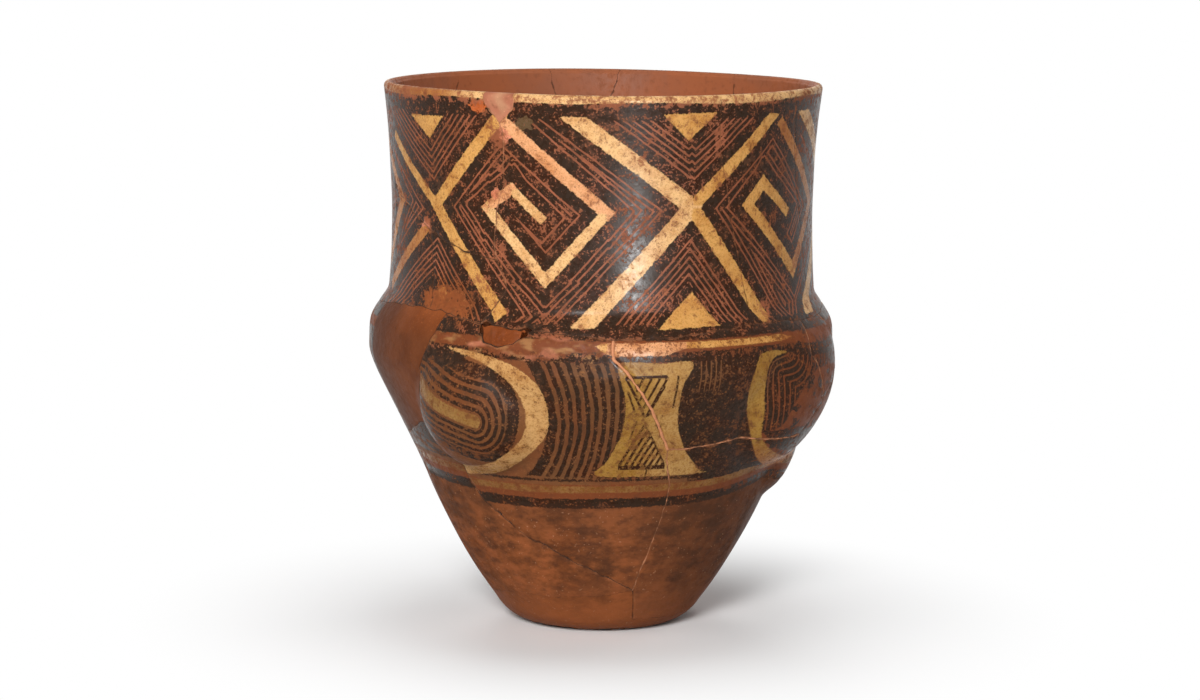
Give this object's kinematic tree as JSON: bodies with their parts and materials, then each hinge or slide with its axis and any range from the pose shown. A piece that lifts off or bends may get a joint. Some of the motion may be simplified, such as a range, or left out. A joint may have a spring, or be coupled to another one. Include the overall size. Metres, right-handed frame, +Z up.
{
  "type": "painted clay pot",
  "caption": "Tall hand-built clay pot with a wide straight neck, a bulging lugged belly and a narrow flat base, painted with a dark frieze and put together from mended sherds.",
  "frame": {"origin": "centre of the flat resting face of the base", "axes": "+Z up along the pot's axis, -Y towards the side shown in the picture, +X to its right"},
  "size_m": [0.32, 0.32, 0.372],
  "materials": {
    "painted_clay": "burnished, painted dark brown and cream, worn",
    "plain_clay": "smoothed red-brown, unpainted",
    "plaster": "toned plaster fill, matt",
    "putty": "orange-tinted putty, matt"
  },
  "bodies": {
    "root": {"neck_front": "painted_clay", "neck_right": "painted_clay", "neck_right_rear": "painted_clay", "neck_back_right": "painted_clay", "neck_back": "painted_clay", "rim_back_chip": "painted_clay", "neck_back_left": "painted_clay", "neck_left_back": "painted_clay", "neck_left_rear": "painted_clay", "neck_left_upper": "painted_clay", "neck_left_lower": "painted_clay", "neck_left_foot": "painted_clay", "rim_fill": "plaster", "shoulder_chip": "plaster", "shoulder_fill": "plaster", "belly_front": "painted_clay", "belly_right": "painted_clay", "lug_chip": "painted_clay", "belly_right_rear": "painted_clay", "belly_back_right": "painted_clay", "belly_back": "painted_clay", "belly_back_left": "painted_clay", "belly_left_rear": "painted_clay", "body_left": "painted_clay", "body_right": "painted_clay", "lower_right_rear": "plain_clay", "lower_back_right": "plain_clay", "lower_back_left": "plain_clay", "lower_left_rear": "plain_clay", "base_disc": "plain_clay", "join_filler": "putty"}
  },
  "joints": []
}
